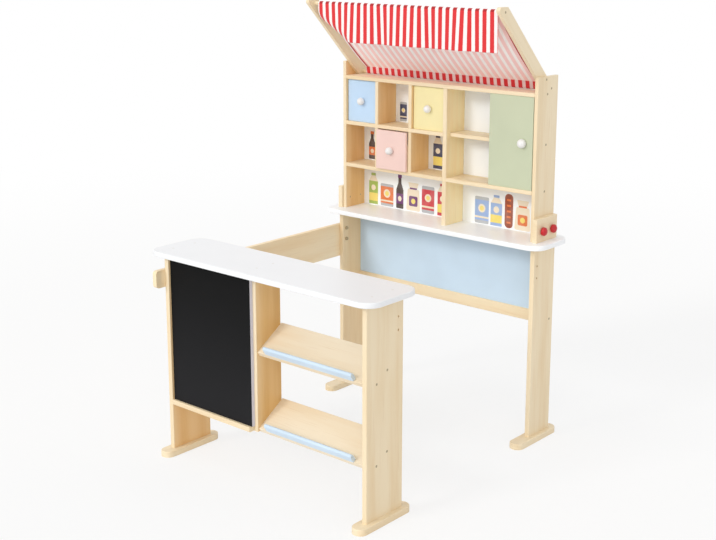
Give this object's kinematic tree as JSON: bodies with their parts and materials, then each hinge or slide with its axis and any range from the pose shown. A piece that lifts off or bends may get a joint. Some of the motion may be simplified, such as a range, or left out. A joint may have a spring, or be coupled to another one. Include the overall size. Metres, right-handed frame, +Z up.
{
  "type": "toy market stall",
  "caption": "Child's wooden market stall: sales counter with blackboard and slanted display, and a shelf unit with drawers, sliding door and striped awning, joined by a side rail.",
  "frame": {"origin": "on the floor, under the middle of the stall's box", "axes": "+X to the customer's right, -Y towards the customer, +Z up"},
  "size_m": [0.836, 0.927, 1.304],
  "materials": {
    "beech": "clear lacquered light wood, satin",
    "white_lacquer": "white lacquered board, satin",
    "white_board": "white printed hardboard, matt",
    "blackboard_paint": "blackboard paint, matt",
    "pale_blue_paint": "pale blue paint, satin",
    "drawer_blue_paint": "light blue paint, satin",
    "drawer_yellow_paint": "light yellow paint, satin",
    "drawer_pink_paint": "light pink paint, satin",
    "door_green_paint": "sage green paint, satin",
    "white_knob": "white painted turned wood, gloss",
    "red_plastic": "moulded red plastic",
    "striped_cotton": "red and white striped cotton",
    "zinc_steel": "zinc plated"
  },
  "bodies": {
    "stall": {"counter_foot_left": "beech", "counter_foot_right": "beech", "counter_upright_left": "beech", "counter_upright_right": "beech", "counter_top": "white_lacquer", "counter_divider": "beech", "blackboard": "blackboard_paint", "blackboard_ledge": "beech", "display_shelf_upper": "beech", "display_shelf_lower": "beech", "stop_strip_upper": "pale_blue_paint", "stop_strip_lower": "pale_blue_paint", "connecting_rail": "beech", "rail_bolts": "zinc_steel", "rail_nuts": "zinc_steel", "shelf_foot_left": "beech", "shelf_foot_right": "beech", "shelf_leg_left": "beech", "shelf_leg_right": "beech", "shelf_top": "white_lacquer", "apron_panel": "pale_blue_paint", "apron_rail": "beech", "joining_plate_left": "beech", "joining_plate_right": "beech", "plate_dowels": "beech", "side_panel_left": "beech", "side_panel_right": "beech", "top_shelf": "beech", "main_divider": "beech", "column_divider_1": "beech", "column_divider_2": "beech", "row_shelf": "beech", "low_shelf_left": "beech", "low_shelf_right": "beech", "door_bay_shelf": "beech", "back_panel": "white_board", "awning_arm_left": "beech", "awning_arm_right": "beech", "awning_front_rod": "beech", "awning_rear_rod": "beech", "awning_cloth": "striped_cotton", "counter_screws": "zinc_steel", "base_screws": "zinc_steel", "cabinet_screws": "zinc_steel", "awning_screws": "zinc_steel"},
    "drawer_blue": {"drawer_blue_front": "drawer_blue_paint", "drawer_blue_box": "beech", "drawer_blue_knob": "white_knob"},
    "drawer_yellow": {"drawer_yellow_front": "drawer_yellow_paint", "drawer_yellow_box": "beech", "drawer_yellow_knob": "white_knob"},
    "drawer_pink": {"drawer_pink_front": "drawer_pink_paint", "drawer_pink_box": "beech", "drawer_pink_knob": "white_knob"},
    "door": {"sliding_door": "door_green_paint", "sliding_door_knob": "white_knob"},
    "hand_screw_left_front": {"hand_screw_left_front": "red_plastic"},
    "hand_screw_left_rear": {"hand_screw_left_rear": "red_plastic"},
    "hand_screw_right_front": {"hand_screw_right_front": "red_plastic"},
    "hand_screw_right_rear": {"hand_screw_right_rear": "red_plastic"}
  },
  "joints": [
    {"name": "drawer_blue_slide", "type": "slide", "parent": "stall", "child": "drawer_blue", "axis": [0, -1, 0], "range_m": [0, 0.055]},
    {"name": "drawer_yellow_slide", "type": "slide", "parent": "stall", "child": "drawer_yellow", "axis": [0, -1, 0], "range_m": [0, 0.055]},
    {"name": "drawer_pink_slide", "type": "slide", "parent": "stall", "child": "drawer_pink", "axis": [0, -1, 0], "range_m": [-0.02, 0.035]},
    {"name": "door_slide", "type": "slide", "parent": "stall", "child": "door", "axis": [1, 0, 0], "range_m": [-0.153, 0.003]},
    {"name": "hand_screw_left_front_turn", "type": "hinge", "parent": "stall", "child": "hand_screw_left_front", "pos_m": [-0.385, 0.3545, 0.652], "axis": [-1, 0, 0], "continuous": true},
    {"name": "hand_screw_left_rear_turn", "type": "hinge", "parent": "stall", "child": "hand_screw_left_rear", "pos_m": [-0.385, 0.4065, 0.652], "axis": [-1, 0, 0], "continuous": true},
    {"name": "hand_screw_right_front_turn", "type": "hinge", "parent": "stall", "child": "hand_screw_right_front", "pos_m": [0.385, 0.3545, 0.652], "axis": [1, 0, 0], "continuous": true},
    {"name": "hand_screw_right_rear_turn", "type": "hinge", "parent": "stall", "child": "hand_screw_right_rear", "pos_m": [0.385, 0.4065, 0.652], "axis": [1, 0, 0], "continuous": true}
  ]
}
